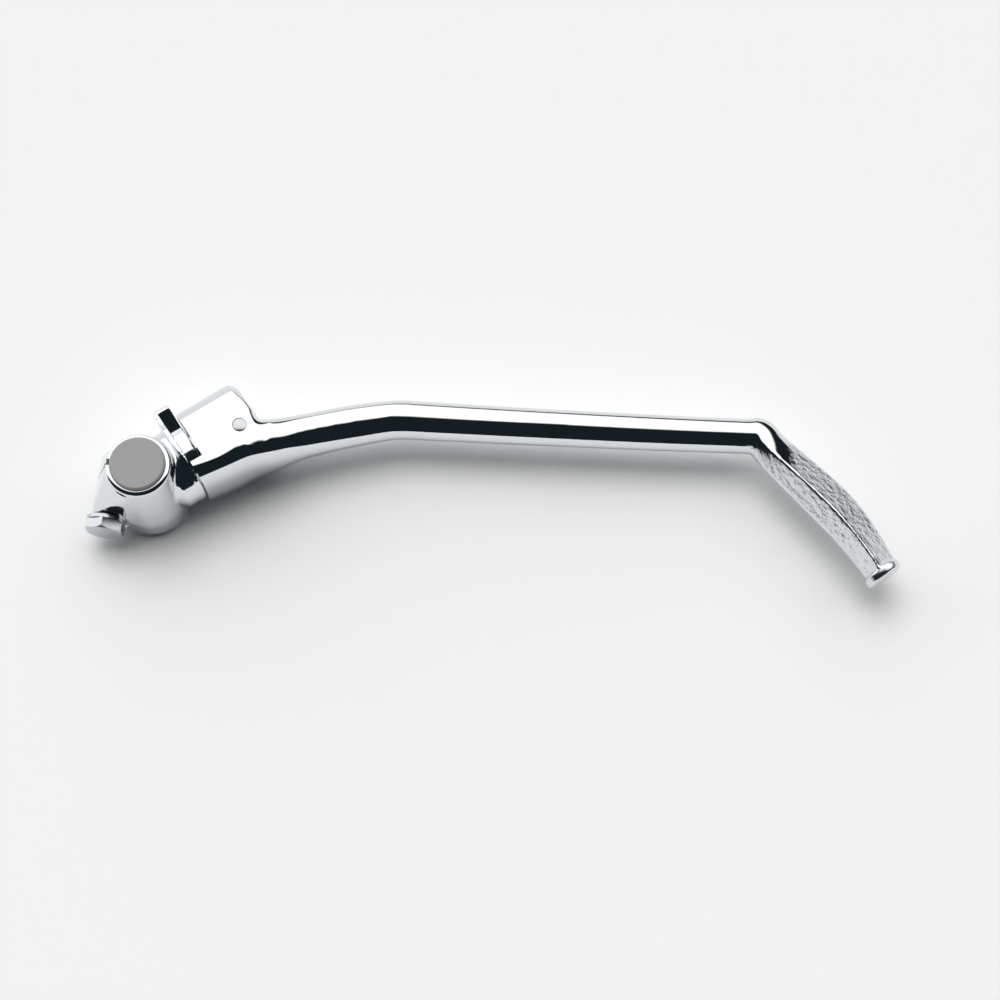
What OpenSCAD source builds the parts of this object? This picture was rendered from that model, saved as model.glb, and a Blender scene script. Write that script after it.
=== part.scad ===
// Kick start lever for a motorcycle: a clamped knuckle and a forged lever that folds on its post.
// The knuckle's splined bore stands on Z, with +Z outboard, and the lever runs out along +X.
// The origin is on the bore's axis, at the knuckle's inboard face. All sizes are millimetres.

/* [Knuckle] */
// Length of the clamp boss along the kick shaft
boss_len = 32; // [30:0.5:38]
// Radius of the boss at its inboard face
boss_base_r = 14; // [13:0.1:16]
// Radius of the boss at its outboard face
boss_face_r = 11; // [10.8:0.1:13]
// Radius of the rounded edge at the outboard face
boss_round = 1.4; // [0.5:0.1:1.8]
// Radius to the tips of the serrations in the bore
spline_tip_r = 7.2; // [6:0.1:7.4]
// Depth of each serration groove
spline_depth = 0.65; // [0.4:0.05:0.7]
// Number of serrations round the bore
spline_count = 28; // [20:1:36]
// Length of the serrated stretch of the bore
spline_len = 24; // [18:1:26]

/* [Pinch clamp] */
// Direction of the clamp slit, seen from outboard, from +X
slit_angle = 174; // [165:1:185]
// Width of the clamp slit
slit_w = 2.2; // [1.5:0.1:3]
// Distance from the bore's axis to the pinch bolt's axis
bolt_offset = 12.05; // [12.05:0.05:12.8]
// Height of the pinch bolt's axis over the inboard face
bolt_z = 11; // [10:0.5:16]
// Shank radius of the pinch bolt
bolt_r = 3.9; // [3:0.1:3.9]
// Width across the flats of the bolt's head
bolt_flats = 12; // [10:0.5:13]
// Height of the bolt's head
bolt_head_h = 3.6; // [3:0.1:5.5]
// Wall of the lug outside the bolt's hole
lug_wall = 1.3; // [1.2:0.1:3]
// Length of the lug from the slit to the bolt's head
lug_half = 13.2; // [12:0.2:14]
// Length of the lug from the slit to the bolt's far end
lug_far = 8.5; // [8:0.5:12]
// Thickness of the spring washer under the head
washer_t = 1.2; // [1:0.1:2]

/* [Bore cap] */
// Radius of the cap in the bore's outer mouth
cap_r = 9.2; // [8.8:0.1:9.4]
// Height of the cap over the boss's face
cap_proud = 1.6; // [1:0.1:4]
// Depth of the cap's seat in the boss
cap_seat = 3.4; // [2:0.1:5]

/* [Swivel joint] */
// Direction of the swivel post, seen from outboard, from +X
post_angle = 33; // [28:1:38]
// Height of the post's axis over the inboard face
post_z = 14.4; // [14:0.1:16]
// Radius of the post
post_r = 7; // [6:0.1:7.5]
// Radius of the lever's hub
hub_r = 14.8; // [13.5:0.1:16]
// Distance from the bore's axis to the hub's near end
hub_start = 19.7; // [19:0.1:22]
// Length of the hub along the post
hub_len = 22.3; // [20:0.1:26]
// Length of the stop jaw that reaches from the hub to the knuckle
jaw_len = 4.5; // [3:0.1:4.5]
// Radial height of the stop jaw
jaw_h = 4; // [3:0.1:4.5]
// Angle of the jaw's leading side, from the pedal's side up to outboard
jaw_lead = 63; // [55:1:74]
// Angle of the jaw's trailing side
jaw_trail = -60; // [-80:1:-40]
// Height of the flat on top of the hub over the post's axis
hub_flat = 14.1; // [13.6:0.1:14.5]
// Travel of the lever from folded to ready to kick
swing = 90; // [80:1:92]
// Reach of the stop ear past the hub's surface
ear_reach = 3.8; // [3:0.1:6]

/* [Detent] */
// Radius of the detent ball
ball_r = 2; // [1.8:0.1:2.2]
// Depth of the ball in its track on the post
ball_sink = 1; // [0.6:0.1:1.2]
// Distance from the bore's axis to the detent hole's axis, along the post
detent_at = 35.5; // [30:0.1:35.7]
// Height of the screwed plug over the ball's spring
plug_h = 1.6; // [1.5:0.1:2]
// Wire radius of the detent spring
spring_wire_r = 0.28; // [0.2:0.02:0.34]
// Turns of the detent spring
spring_turns = 3; // [2:1:4]

/* [Arm and pedal] */
// Distance from the bore's axis to the arm's bend
bend_x = 85; // [75:1:95]
// Distance from the bore's axis to the pedal's elbow
elbow_x = 206.5; // [180:0.5:225]
// Length of the pedal from the elbow to its end
pedal_len = 64; // [50:0.5:80]
// Angle between the pedal and the X axis
pedal_angle = 51.5; // [40:0.5:65]
// Bow of the pedal outward from a straight line
pedal_bow = 3; // [0:0.1:5]
// Diameter of the arm past its bend
arm_d = 13.3; // [11:0.1:15]
// Diameter of the arm at the elbow
arm_tip_d = 12; // [10:0.1:13.5]
// Greatest width of the pedal
pedal_w = 15.3; // [13:0.1:18]
// Height of the ridge along the pedal over its middle plane
ridge_h = 7.6; // [6:0.1:9]
// Radius of the rim at the pedal's end
rim_r = 6.6; // [6.2:0.1:8]
// Thickness of the rim
rim_t = 3.4; // [2.5:0.1:5]

/* [Hidden] */
$fn = 72;
e = 0.05;
bolt_clear = 0.1;
run_gap = 0.05;
face_gap = 0.3;
stop_gap = 3;
spline_gap_w = 1.0;
bore_relief_r = spline_tip_r + spline_depth + 0.1;
boss_shoulder_z = boss_len * 0.27;
collar_r = hub_r - jaw_h - 0.35;
flange_end = hub_start - jaw_len - face_gap;
flange_start = 8.4;
flange_r = hub_r - 0.2;
hub_end = hub_start + hub_len;
retainer_depth = 2.7;
retainer_r = post_r + 2.7;
access_len = 3.5;
thrust_t = 0.8;
circlip_t = 1.1;
circlip_r = post_r + 1.4;
circlip_sink = 0.8;
thrust_at = hub_end - retainer_depth + 0.05;
circlip_at = thrust_at + thrust_t + 0.05;
post_end = circlip_at + circlip_t + 1.5;
track_r = post_r + ball_r - ball_sink;
detent_hole_r = ball_r + 0.35;
detent_angle = 72;
plug_floor = hub_flat - plug_h;
spring_mean_r = ball_r * 0.72;
spring_seat = sqrt(pow(ball_r + spring_wire_r + 0.04, 2) - pow(spring_mean_r, 2));
spring_low = track_r + spring_seat;
washer_r = 6.6;
bolt_len = lug_half + lug_far + washer_t - 1.6;

// Frames

// Turns children from the clamp's own frame, with the slit along -X, into place
module clamp_frame() {
    rotate([0, 0, slit_angle - 180]) children();
}

// Turns children from the post's own frame, with the post along +X, into place
module post_frame() {
    translate([0, 0, post_z]) rotate([0, 0, post_angle]) children();
}

// A round bar along the post, from one distance to another
module post_bar(r, from, to) {
    translate([from, 0, 0]) rotate([0, 90, 0]) cylinder(r = r, h = to - from);
}

// Angles round the post start at the pedal's side and rise to outboard
function round_post(a) = -(90 + a);

// A ring sector round the post between two angles
module post_sector(r_in, r_out, from, to, start, end) {
    steps = 24;
    outer = [for (i = [0:steps]) let (a = round_post(start + (end - start) * i / steps))
        [r_out * cos(a), r_out * sin(a)]];
    inner = [for (i = [steps:-1:0]) let (a = round_post(start + (end - start) * i / steps))
        [r_in * cos(a), r_in * sin(a)]];
    translate([from, 0, 0]) rotate([0, 90, 0])
        linear_extrude(height = to - from) polygon(concat(outer, inner));
}

// The direction of the detent hole, as a frame with Z along the hole
module detent_frame() {
    post_frame() translate([detent_at, 0, 0]) rotate([90 - detent_angle, 0, 0]) children();
}

// Knuckle

// Half outline of the boss: a base, a long taper and a rounded outer edge
module boss_outline() {
    edge_r = boss_face_r - boss_round;
    difference() {
        union() {
            polygon([
                [0, 0], [boss_base_r - 1, 0], [boss_base_r, 1], [boss_base_r - 0.1, boss_shoulder_z],
                [boss_face_r, boss_len - boss_round], [edge_r, boss_len], [0, boss_len]
            ]);
            translate([edge_r, boss_len - boss_round]) circle(r = boss_round);
        }
        translate([-boss_base_r, 0]) square([boss_base_r, boss_len + 1]);
    }
}

// The two ears that the bolt draws together, blended into the boss
module clamp_lug() {
    lug_r = bolt_r + bolt_clear + lug_wall;
    inset = 0.25;
    hull() {
        translate([-bolt_offset, lug_far, bolt_z]) rotate([90, 0, 0])
            cylinder(r = lug_r, h = lug_half + lug_far, $fn = 40);
        translate([0, 0, 1 + inset])
            cylinder(r = boss_base_r - inset, h = boss_shoulder_z - 1 - 2 * inset, $fn = 56);
        translate([0, 0, boss_len - 3]) cylinder(r = boss_face_r, h = 0.5, $fn = 56);
    }
}

// The ear that stops the lever's jaw at both ends of its travel
module stop_ear() {
    translate([flange_start + 5.2, 0, 0]) rotate([0, 90, 0])
        linear_extrude(height = hub_start - face_gap - flange_start - 5.2) offset(r = 3) offset(r = -3)
            polygon([
                [-5.5, 2], [-8.2, hub_r - 4], [-7, hub_r + ear_reach], [2.5, hub_r + ear_reach],
                [7, hub_r - 3], [8, 2]
            ]);
}

// Neck and flange that carry the post; the neck stands a little towards the pedal's side
module post_root() {
    neck_shift = 1.2;
    neck_r = flange_r - neck_shift - 0.1;
    neck_cone = 3.4;
    post_bar(boss_face_r + 0.8, 0, flange_start + 1);
    translate([0, -neck_shift, 0]) {
        post_bar(neck_r, flange_start, flange_end - 0.6);
        translate([flange_start - neck_cone, 0, 0]) rotate([0, 90, 0])
            cylinder(r1 = boss_face_r, r2 = neck_r, h = neck_cone);
    }
    post_bar(flange_r, flange_end - 1.8, flange_end);
    post_bar(collar_r, flange_end - e, hub_start - face_gap);
}

// The space that the lever's jaw sweeps through
module jaw_sweep() {
    post_sector(
        collar_r, hub_r * 1.6, flange_end, hub_start + 1,
        jaw_trail - stop_gap, jaw_lead + swing + stop_gap
    );
}

// Serrated bore, relief behind it and seat for the cap
module spline_bore() {
    translate([0, 0, -e]) cylinder(r = spline_tip_r, h = spline_len + 2 * e);
    translate([0, 0, spline_len]) cylinder(r = bore_relief_r, h = boss_len - spline_len + 1);
    translate([0, 0, boss_len - cap_seat]) cylinder(r = cap_r + 0.05, h = cap_seat + 1);
    for (i = [0:spline_count - 1]) {
        rotate([0, 0, (i + 0.5) * 360 / spline_count]) translate([0, 0, -e])
            linear_extrude(height = spline_len + 2 * e)
                polygon([
                    [spline_tip_r - 0.4, -spline_gap_w / 2 - 0.1],
                    [spline_tip_r + spline_depth, 0],
                    [spline_tip_r - 0.4, spline_gap_w / 2 + 0.1]
                ]);
    }
}

// Slit, bolt hole and the spot face under the washer
module clamp_cuts() {
    slit_end = bolt_offset + bolt_r + lug_wall + 12;
    translate([-slit_end, -slit_w / 2, -1]) cube([slit_end, slit_w, boss_len + 2]);
    translate([-bolt_offset, 0, bolt_z]) rotate([90, 0, 0]) {
        translate([0, 0, -lug_far - 1]) cylinder(r = bolt_r + bolt_clear, h = lug_half + lug_far + 1.5);
        translate([0, 0, lug_half]) cylinder(r = washer_r + 1.2, h = 12);
        translate([0, 0, -lug_far - 12]) cylinder(r = washer_r, h = 12);
    }
}

// Ball track with a pocket at each end, and the groove for the circlip
module post_cuts() {
    post_frame() {
        translate([circlip_at - 0.05, 0, 0]) rotate([0, 90, 0]) difference() {
            cylinder(r = post_r + 1, h = circlip_t + 0.1);
            translate([0, 0, -1]) cylinder(r = post_r - circlip_sink, h = circlip_t + 3);
        }
        translate([detent_at, 0, 0]) rotate([0, 90, 0]) rotate_extrude()
            translate([track_r, 0]) circle(r = ball_r + 0.12, $fn = 32);
    }
    for (a = [0, swing]) {
        post_frame() translate([detent_at, 0, 0]) rotate([90 - detent_angle - a, 0, 0])
            translate([0, 0, track_r - 0.15]) sphere(r = ball_r + 0.25, $fn = 32);
    }
}

module knuckle() {
    color("silver") difference() {
        union() {
            difference() {
                union() {
                    rotate_extrude() boss_outline();
                    clamp_frame() clamp_lug();
                    post_frame() {
                        post_root();
                        stop_ear();
                    }
                }
                post_frame() jaw_sweep();
            }
            post_frame() {
                post_bar(post_r, flange_end, post_end - 0.8);
                translate([post_end - 0.8 - e, 0, 0]) rotate([0, 90, 0])
                    cylinder(r1 = post_r, r2 = post_r - 0.8, h = 0.8 + e);
            }
        }
        spline_bore();
        clamp_frame() clamp_cuts();
        post_cuts();
    }
}

// Lever

// Stations along the middle of the forging, each with [x, y, width in plan, height,
// how far the section has changed to the ridged pedal, how far it has flat sides]
bend_y = bend_x * 0.2685;
arm_run = elbow_x - bend_x;
function on_arm(f) = [bend_x + arm_run * f, bend_y - arm_run * (0.0586 * f - 0.0074 * pow(f, 3))];
function on_root(f) = [bend_x * f, bend_y * (1 - pow(1 - f, 1.38))];
function arm_size(f) = arm_d + (arm_tip_d - arm_d) * f;
pedal_dir = [cos(pedal_angle), -sin(pedal_angle)];
pedal_side = [sin(pedal_angle), cos(pedal_angle)];
function on_pedal(f) = on_arm(1) + pedal_dir * pedal_len * f + pedal_side * pedal_bow * sin(180 * pow(f, 1.4));
stations = [
    concat(hub_start * [0.76, 0.1], [hub_r * 1.06, hub_r * 1.9, 0, 1]),
    concat(hub_end * [0.583, 0.17], [hub_r * 1.16, hub_r * 1.95, 0, 1]),
    concat(hub_end * [0.786, 0.272], [hub_r * 1.16, hub_r * 1.86, 0, 0.9]),
    concat(on_root(0.5) + [0, -0.2], [hub_r * 1.06, hub_r * 1.58, 0, 0.5]),
    concat(on_root(0.61), [arm_d * 1.09, arm_d * 1.34, 0, 0.15]),
    concat(on_root(0.79), [arm_d * 1.07, arm_d * 1.12, 0, 0]),
    concat(on_root(0.95), [arm_d * 1.02, arm_d * 1.03, 0, 0]),
    concat(on_arm(0.015), [arm_d * 1.01, arm_d, 0, 0]),
    concat(on_arm(0.06), [arm_d, arm_d, 0, 0]),
    concat(on_arm(0.35), [arm_size(0.4), arm_size(0.4), 0, 0]),
    concat(on_arm(0.7), [arm_size(0.75), arm_size(0.75), 0, 0]),
    concat(on_arm(0.955), [arm_tip_d, arm_tip_d, 0, 0]),
    concat(on_arm(1), [arm_tip_d * 1.06, arm_tip_d, 0.1, 0]),
    concat(on_pedal(0.08), [arm_tip_d * 1.06, arm_tip_d * 1.02, 0.4, 0]),
    concat(on_pedal(0.16), [pedal_w * 0.9, arm_tip_d * 1.08, 0.8, 0]),
    concat(on_pedal(0.29), [pedal_w * 0.95, pedal_w * 0.9, 1, 0]),
    concat(on_pedal(0.5), [pedal_w, pedal_w * 0.94, 1, 0]),
    concat(on_pedal(0.68), [pedal_w * 0.95, pedal_w * 0.92, 1, 0]),
    concat(on_pedal(0.85), [pedal_w * 0.83, pedal_w * 0.88, 1, 0]),
    concat(on_pedal(0.97), [pedal_w * 0.76, pedal_w * 0.84, 1, 0])
];
ring_sides = 32;
ring_steps = 4;

// A smooth curve through four values, between the second and the third
function curve(a, b, c, d, t) =
    0.5 * (2 * b + (c - a) * t + (2 * a - 5 * b + 4 * c - d) * t * t + (3 * b - a - 3 * c + d) * t * t * t);
last = len(stations) - 1;
function station(i) = stations[max(0, min(last, i))];
rings = [
    for (i = [0:last - 1]) for (k = [0:ring_steps - 1])
        curve(station(i - 1), station(i), station(i + 1), station(i + 2), k / ring_steps),
    stations[last]
];
function heading(i) =
    let (a = rings[max(0, i - 1)], b = rings[min(len(rings) - 1, i + 1)], d = [b[0] - a[0], b[1] - a[1]])
    d / norm(d);

// The pedal's section: a ridge on top, off the middle, two sloping faces and a round underside
ridge_at = cos(112.5);
function pedal_point(a) =
    let (c = cos(a), s = sin(a), flank = pow(abs(c), 1.15) * sign(c))
    let (slope = c >= ridge_at ? (1 - c) / (1 - ridge_at) : (1 + c) / (1 + ridge_at))
    s >= 0 ? [c, ridge_h / (pedal_w * 0.47) * slope] : [flank, s];

// A round section whose sides are flattened by a share q
function round_point(a, q) =
    let (c = cos(a), s = sin(a), p = 1 - 0.3 * q)
    [pow(abs(c), p) * sign(c), pow(abs(s), p) * sign(s)];

function ring_points(i) =
    let (r = rings[i], t = heading(i), n = [-t[1], t[0]], k = max(0, min(1, r[4])))
    [for (j = [0:ring_sides - 1])
        let (
            a = 360 * j / ring_sides,
            p = pedal_point(a) * k + round_point(a, max(0, r[5])) * (1 - k),
            side = p[0] * r[2] / 2,
            up = p[1] * r[3] / 2
        )
        [r[0] + n[0] * side, r[1] + n[1] * side, post_z + up]];

module forging() {
    n = ring_sides;
    m = len(rings);
    points = [for (i = [0:m - 1]) each ring_points(i)];
    walls = [for (i = [0:m - 2]) for (j = [0:n - 1])
        let (a = i * n + j, b = i * n + (j + 1) % n)
        each [[a, a + n, b], [b, a + n, b + n]]];
    near_end = [for (j = [0:n - 1]) j];
    far_end = [for (j = [n - 1:-1:0]) (m - 1) * n + j];
    polyhedron(points = points, faces = concat(walls, [near_end], [far_end]), convexity = 6);
}

// Round rim at the pedal's end
module pedal_rim() {
    edge = 0.9;
    end_point = on_pedal(1);
    translate([end_point[0], end_point[1], post_z + 0.2]) rotate([0, 0, -pedal_angle - 3]) rotate([0, -90, 0])
        rotate_extrude() {
            translate([0, edge]) square([rim_r, rim_t - 2 * edge]);
            square([rim_r - edge, rim_t]);
            for (z = [edge, rim_t - edge]) translate([rim_r - edge, z]) circle(r = edge, $fn = 24);
        }
}

// Hub with a chamfer at its far end
module hub_body() {
    chamfer = 1.8;
    post_frame() {
        post_bar(hub_r, hub_start - jaw_len - 1, hub_end - chamfer);
        translate([hub_end - chamfer, 0, 0]) rotate([0, 90, 0])
            cylinder(r1 = hub_r, r2 = hub_r - chamfer, h = chamfer);
    }
}

// At the hub's near end all but the stop jaw is turned away
module jaw_cuts() {
    jaw_tip = hub_start - jaw_len;
    post_frame() {
        post_bar(hub_r * 2, jaw_tip - hub_r, jaw_tip);
        post_bar(hub_r - jaw_h, jaw_tip - 1, hub_start);
        post_sector(hub_r - jaw_h - 2, hub_r * 1.8, jaw_tip - 1, hub_start, jaw_lead, jaw_trail + 360);
    }
}

module lever() {
    color("gainsboro") difference() {
        union() {
            hub_body();
            forging();
            pedal_rim();
        }
        jaw_cuts();
        post_frame() {
            post_bar(post_r + run_gap, hub_start - 1, hub_end + 1);
            post_bar(retainer_r, hub_end - retainer_depth, hub_end + access_len);
            translate([0, -hub_r * 2, hub_flat]) cube([hub_end + hub_r, hub_r * 4, hub_r]);
        }
        detent_frame() cylinder(r = detent_hole_r, h = hub_r + 20);
    }
}

// Small pieces

module bore_cap() {
    color("gray") union() {
        stem_r = bore_relief_r - 0.1;
        translate([0, 0, boss_len - cap_seat + 0.02]) cylinder(r = cap_r, h = cap_seat + cap_proud - 0.52);
        translate([0, 0, boss_len + cap_proud - 0.5]) cylinder(r1 = cap_r, r2 = cap_r - 0.5, h = 0.5);
        translate([0, 0, spline_len + 1]) cylinder(r = stem_r, h = boss_len - cap_seat - spline_len);
    }
}

module pinch_bolt() {
    head_r = bolt_flats / sqrt(3);
    color("lightsteelblue") clamp_frame() translate([-bolt_offset, -lug_half - washer_t, bolt_z])
        rotate([90, 0, 0]) {
            intersection() {
                rotate([0, 0, 28]) cylinder(r = head_r, h = bolt_head_h, $fn = 6);
                union() {
                    cylinder(r = head_r, h = bolt_head_h - 0.8);
                    translate([0, 0, bolt_head_h - 0.8 - e])
                        cylinder(r1 = head_r, r2 = head_r - 1.1, h = 0.8 + e);
                }
            }
            translate([0, 0, -bolt_len]) cylinder(r = bolt_r, h = bolt_len + e);
        }
}

module spring_washer() {
    color("silver") clamp_frame() translate([-bolt_offset, -lug_half, bolt_z]) rotate([90, 0, 0])
        difference() {
            cylinder(r = washer_r, h = washer_t);
            translate([0, 0, -1]) cylinder(r = bolt_r + bolt_clear, h = washer_t + 2);
            rotate([0, 0, 200]) translate([0, -0.5, -1]) cube([washer_r + 1, 1, washer_t + 2]);
        }
}

module thrust_washer() {
    color("silver") post_frame() translate([thrust_at, 0, 0]) rotate([0, 90, 0]) difference() {
        cylinder(r = retainer_r - 0.35, h = thrust_t);
        translate([0, 0, -1]) cylinder(r = post_r + 0.1, h = thrust_t + 2);
    }
}

// External retaining ring: a band with two eyes and an open mouth
module circlip() {
    eye_r = 1.1;
    eye_at = circlip_r - 0.2;
    color("dimgray") post_frame() translate([circlip_at, 0, 0]) rotate([0, 90, 0]) difference() {
        union() {
            cylinder(r = circlip_r, h = circlip_t);
            for (side = [-1, 1]) rotate([0, 0, 90 + side * 16])
                translate([eye_at, 0, 0]) cylinder(r = eye_r, h = circlip_t);
        }
        translate([0, 0, -1]) cylinder(r = post_r - circlip_sink + 0.02, h = circlip_t + 2);
        rotate([0, 0, 90]) translate([0, -1.2, -1]) cube([circlip_r + 4, 2.4, circlip_t + 2]);
        for (side = [-1, 1]) rotate([0, 0, 90 + side * 16])
            translate([eye_at, 0, -1]) cylinder(r = 0.5, h = circlip_t + 2);
    }
}

module detent_ball() {
    color("lightgray") detent_frame() translate([0, 0, track_r]) sphere(r = ball_r, $fn = 40);
}

// Helical spring swept along its own turns
module detent_spring() {
    sides = 8;
    per_turn = 20;
    steps = spring_turns * per_turn;
    rise = plug_floor - spring_low - spring_wire_r - 0.04;
    points = [for (i = [0:steps]) each [for (j = [0:sides - 1])
        let (
            turn = 360 * i / per_turn,
            a = 360 * j / sides,
            r = spring_mean_r + spring_wire_r * cos(a),
            z = spring_low + rise * i / steps + spring_wire_r * sin(a)
        )
        [r * cos(turn), r * sin(turn), z]]];
    walls = [for (i = [0:steps - 1]) for (j = [0:sides - 1])
        let (a = i * sides + j, b = i * sides + (j + 1) % sides)
        each [[a, b, a + sides], [b, b + sides, a + sides]]];
    near_end = [for (j = [sides - 1:-1:0]) j];
    far_end = [for (j = [0:sides - 1]) steps * sides + j];
    color("darkgray") detent_frame()
        polyhedron(points = points, faces = concat(walls, [near_end], [far_end]), convexity = 8);
}

module detent_plug() {
    color("gainsboro") detent_frame() translate([0, 0, plug_floor]) difference() {
        cylinder(r = detent_hole_r - 0.05, h = plug_h - 0.2);
        translate([0, 0, plug_h - 1]) cylinder(r = 1.15, h = 2, $fn = 6);
    }
}

knuckle();
lever();
bore_cap();
pinch_bolt();
spring_washer();
thrust_washer();
circlip();
detent_ball();
detent_spring();
detent_plug();
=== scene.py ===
# %% [markdown]
# # A kick start lever in chrome
# The part is a lever that a rider folds out and kicks down to start a motorcycle. Its CAD model is
# the fixed frame: the sizes, the places and the joint are taken from it. This lesson gives it the
# look of the real one, a polished and chromed forging with a rough pedal, a bright zinc bolt and a
# grey cap.

# %% Load the frame
import bpy
import bmesh
import math
from mathutils import Matrix, Vector, noise


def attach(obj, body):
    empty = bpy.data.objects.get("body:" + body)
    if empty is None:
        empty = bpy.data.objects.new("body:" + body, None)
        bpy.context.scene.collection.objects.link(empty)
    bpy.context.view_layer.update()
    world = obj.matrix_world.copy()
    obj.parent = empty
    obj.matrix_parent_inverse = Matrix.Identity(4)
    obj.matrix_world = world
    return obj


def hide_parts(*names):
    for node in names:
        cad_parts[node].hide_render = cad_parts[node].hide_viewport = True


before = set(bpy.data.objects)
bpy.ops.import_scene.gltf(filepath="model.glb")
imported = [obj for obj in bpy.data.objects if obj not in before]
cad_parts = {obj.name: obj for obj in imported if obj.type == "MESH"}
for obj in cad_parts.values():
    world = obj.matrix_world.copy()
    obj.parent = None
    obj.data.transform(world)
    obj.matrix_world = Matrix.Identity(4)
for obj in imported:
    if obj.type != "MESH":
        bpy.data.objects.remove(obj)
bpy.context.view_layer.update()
MM = 0.001

# %% [markdown]
# ## Sizes
# The forgings are modelled again here with smoother skins, because chrome shows every facet. They
# use the same sizes as the CAD model, in millimetres, and they stay inside its box. Two frames
# help: the clamp's, where the slit runs along -X, and the post's, where the swivel post runs
# along +X.

# %% Sizes of the knuckle, in millimetres
BOSS_LEN, BOSS_BASE_R, BOSS_FACE_R, BOSS_ROUND = 32.0, 14.0, 11.0, 1.4
SHOULDER_Z = BOSS_LEN * 0.27
SPLINE_TIP_R, SPLINE_DEPTH, SPLINE_COUNT, SPLINE_LEN = 7.2, 0.65, 28, 24.0
RELIEF_R = SPLINE_TIP_R + SPLINE_DEPTH + 0.1
SLIT_ANGLE, SLIT_W = 174.0, 2.2
BOLT_OFFSET, BOLT_Z, BOLT_HOLE_R = 12.05, 11.0, 4.0
LUG_HALF, LUG_FAR, LUG_WALL, WASHER_R = 13.2, 8.5, 1.3, 6.6
CAP_R, CAP_SEAT = 9.2, 3.4

# %% Sizes of the swivel joint
POST_ANGLE, POST_Z, POST_R = 33.0, 14.4, 7.0
HUB_R, HUB_START, HUB_LEN, HUB_FLAT = 14.8, 19.7, 22.3, 14.1
HUB_END = HUB_START + HUB_LEN
JAW_LEN, JAW_H, JAW_LEAD, JAW_TRAIL, SWING, STOP_GAP = 4.5, 4.0, 63.0, -60.0, 90.0, 3.0
FACE_GAP, EAR_REACH = 0.3, 3.8
JAW_TIP = HUB_START - JAW_LEN
FLANGE_START, FLANGE_END, FLANGE_R = 8.4, JAW_TIP - FACE_GAP, HUB_R - 0.2
COLLAR_R = HUB_R - JAW_H - 0.35
RETAINER_R, RETAINER_DEPTH, ACCESS_LEN = POST_R + 2.7, 2.7, 3.5
CIRCLIP_AT, CIRCLIP_T, CIRCLIP_SINK, POST_END = 40.2, 1.1, 0.8, 42.8
DETENT_AT, DETENT_ANGLE, DETENT_R, TRACK_R, TRACK_WIRE = 35.5, 72.0, 2.35, 8.0, 2.12

# %% Sizes of the arm and pedal
BEND_X, ELBOW_X, PEDAL_LEN, PEDAL_ANGLE, PEDAL_BOW = 85.0, 206.5, 64.0, 51.5, 3.0
ARM_D, ARM_TIP_D, PEDAL_W, RIDGE_H, RIM_R, RIM_T = 13.3, 12.0, 15.3, 7.6, 6.6, 3.4

# %% The two frames
CLAMP = Matrix.Rotation(math.radians(SLIT_ANGLE - 180), 4, "Z")
POST = Matrix.Translation((0, 0, POST_Z)) @ Matrix.Rotation(math.radians(POST_ANGLE), 4, "Z")
ALONG_X = Matrix.Rotation(math.radians(90), 4, "Y")
ALONG_Y = Matrix.Rotation(math.radians(90), 4, "X")
AT_BOLT = Matrix.Translation((-BOLT_OFFSET, 0, BOLT_Z))

# %% [markdown]
# ## Helpers for solids
# Each solid starts in a bmesh, in millimetres, and is turned into an object in metres at the
# origin. Forged shapes grow into each other, so their solids are joined, remeshed to one skin and
# smoothed. Machined features such as bores, slots and faces are cut afterwards, so their edges
# stay crisp.


# %% From a bmesh to an object
MERGE_MM = 1e-4


def place(bm, *turns):
    """Moves a bmesh through the given matrices, the last one first."""
    for turn in reversed(turns):
        bmesh.ops.transform(bm, matrix=turn, verts=bm.verts)
    return bm


def to_object(bm, name):
    """Makes an object at the origin from a bmesh in millimetres."""
    bmesh.ops.remove_doubles(bm, verts=bm.verts, dist=MERGE_MM)
    bmesh.ops.recalc_face_normals(bm, faces=bm.faces)
    bmesh.ops.scale(bm, vec=(MM, MM, MM), verts=bm.verts)
    mesh = bpy.data.meshes.new(name)
    bm.to_mesh(mesh)
    bm.free()
    piece = bpy.data.objects.new(name, mesh)
    bpy.context.scene.collection.objects.link(piece)
    return piece


# %% Turned and extruded shapes
# Round shapes have enough sides that no facet shows in the chrome.
SIDES = 96


def bar(r, start, end, sides=SIDES):
    """A round bar along Z, from one height to another."""
    bm = bmesh.new()
    bmesh.ops.create_cone(
        bm, cap_ends=True, segments=sides, radius1=r, radius2=r, depth=end - start
    )
    bmesh.ops.translate(bm, vec=(0, 0, (start + end) / 2), verts=bm.verts)
    return bm


def turned(profile):
    """Spins a half outline of (radius, height) points round Z."""
    bm = bmesh.new()
    verts = [bm.verts.new((r, 0, z)) for r, z in profile]
    edges = [bm.edges.new(pair) for pair in zip(verts, verts[1:])]
    bmesh.ops.spin(
        bm, geom=verts + edges, cent=(0, 0, 0), axis=(0, 0, 1), angle=math.tau, steps=SIDES,
        use_merge=True
    )
    return bm


def prism(points, start, end):
    """A flat outline pulled up from one height to another."""
    bm = bmesh.new()
    verts = [bm.verts.new((x, y, start)) for x, y in points]
    face = bm.faces.new(verts)
    grown = bmesh.ops.extrude_face_region(bm, geom=[face])
    top = [item for item in grown["geom"] if isinstance(item, bmesh.types.BMVert)]
    bmesh.ops.translate(bm, vec=(0, 0, end - start), verts=top)
    return bm


def block(low, high):
    """A box between two corners."""
    bm = bmesh.new()
    bmesh.ops.create_cube(bm, size=1)
    bmesh.ops.scale(bm, vec=[b - a for a, b in zip(low, high)], verts=bm.verts)
    bmesh.ops.translate(bm, vec=[(a + b) / 2 for a, b in zip(low, high)], verts=bm.verts)
    return bm


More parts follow.
